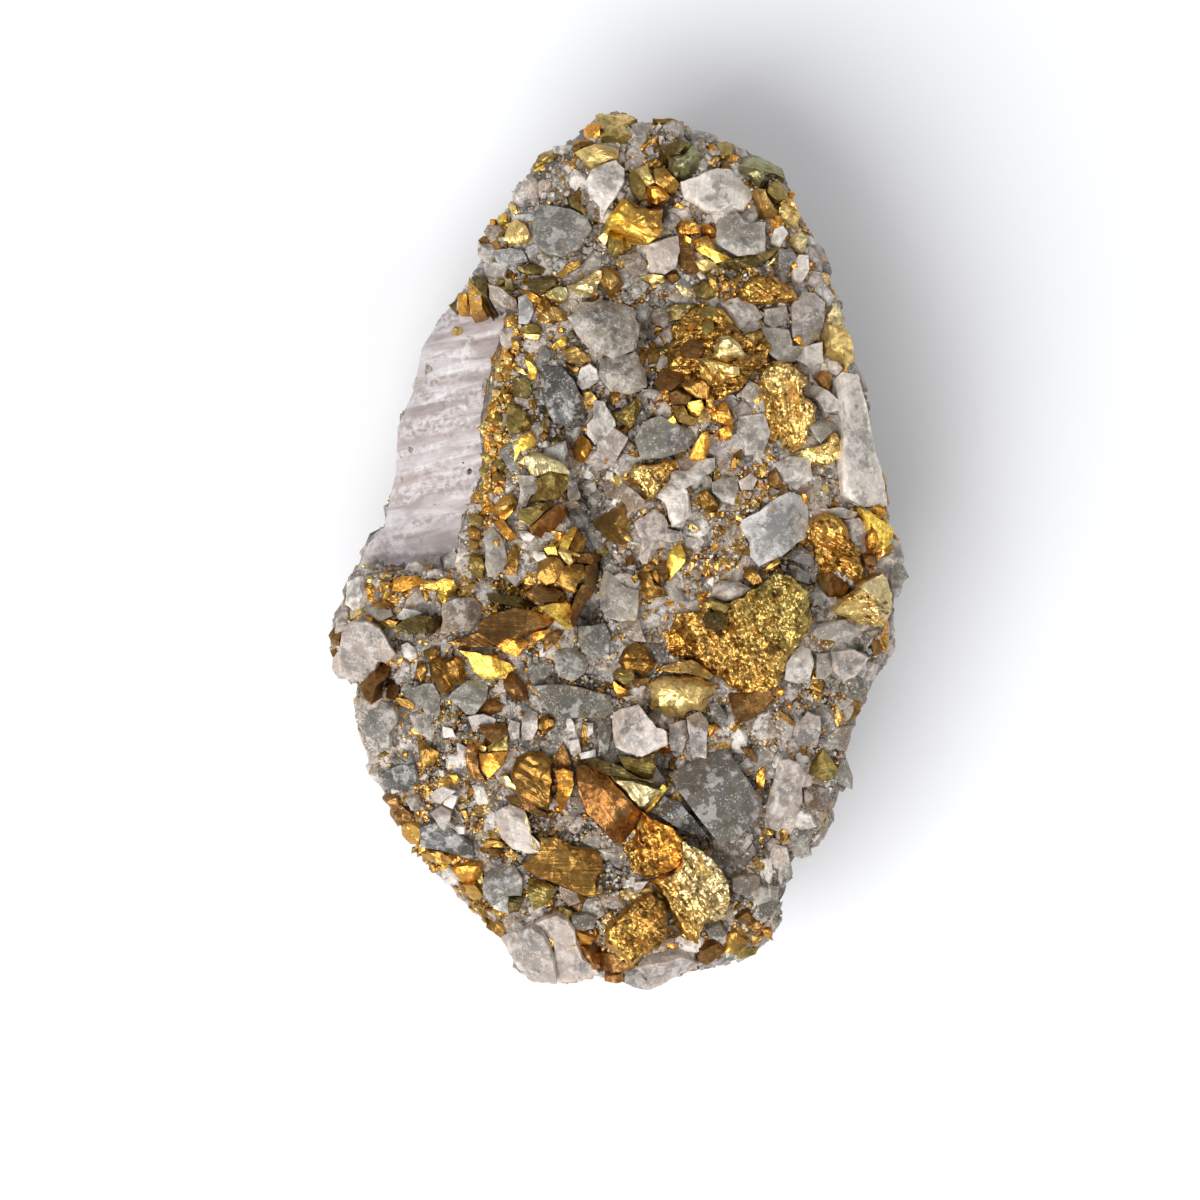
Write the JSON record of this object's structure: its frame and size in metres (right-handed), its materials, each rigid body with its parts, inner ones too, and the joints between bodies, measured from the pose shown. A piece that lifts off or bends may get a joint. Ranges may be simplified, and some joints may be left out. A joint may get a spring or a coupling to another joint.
{
  "type": "chalcopyrite mineral specimen",
  "caption": "Hand-sized mineral specimen: brassy chalcopyrite crystals and rippled masses on pale calcite, lying on its flat broken back with the crystal face up.",
  "frame": {"origin": "middle of the flat broken back, on the surface the specimen lies on", "axes": "+X to the right of the crystal face, +Y along the specimen's long axis towards its narrow end, +Z out of the crystal face"},
  "size_m": [0.0592, 0.0899, 0.0323],
  "materials": {
    "chalcopyrite": "metallic brass-yellow crystals with orange and olive tarnish",
    "calcite": "milky pinkish white to grey, silky cleavage faces",
    "matrix": "dull grey-brown granular rock and fine crystal druse"
  },
  "bodies": {
    "root": {"chalcopyrite_specimen": "chalcopyrite"}
  },
  "joints": []
}
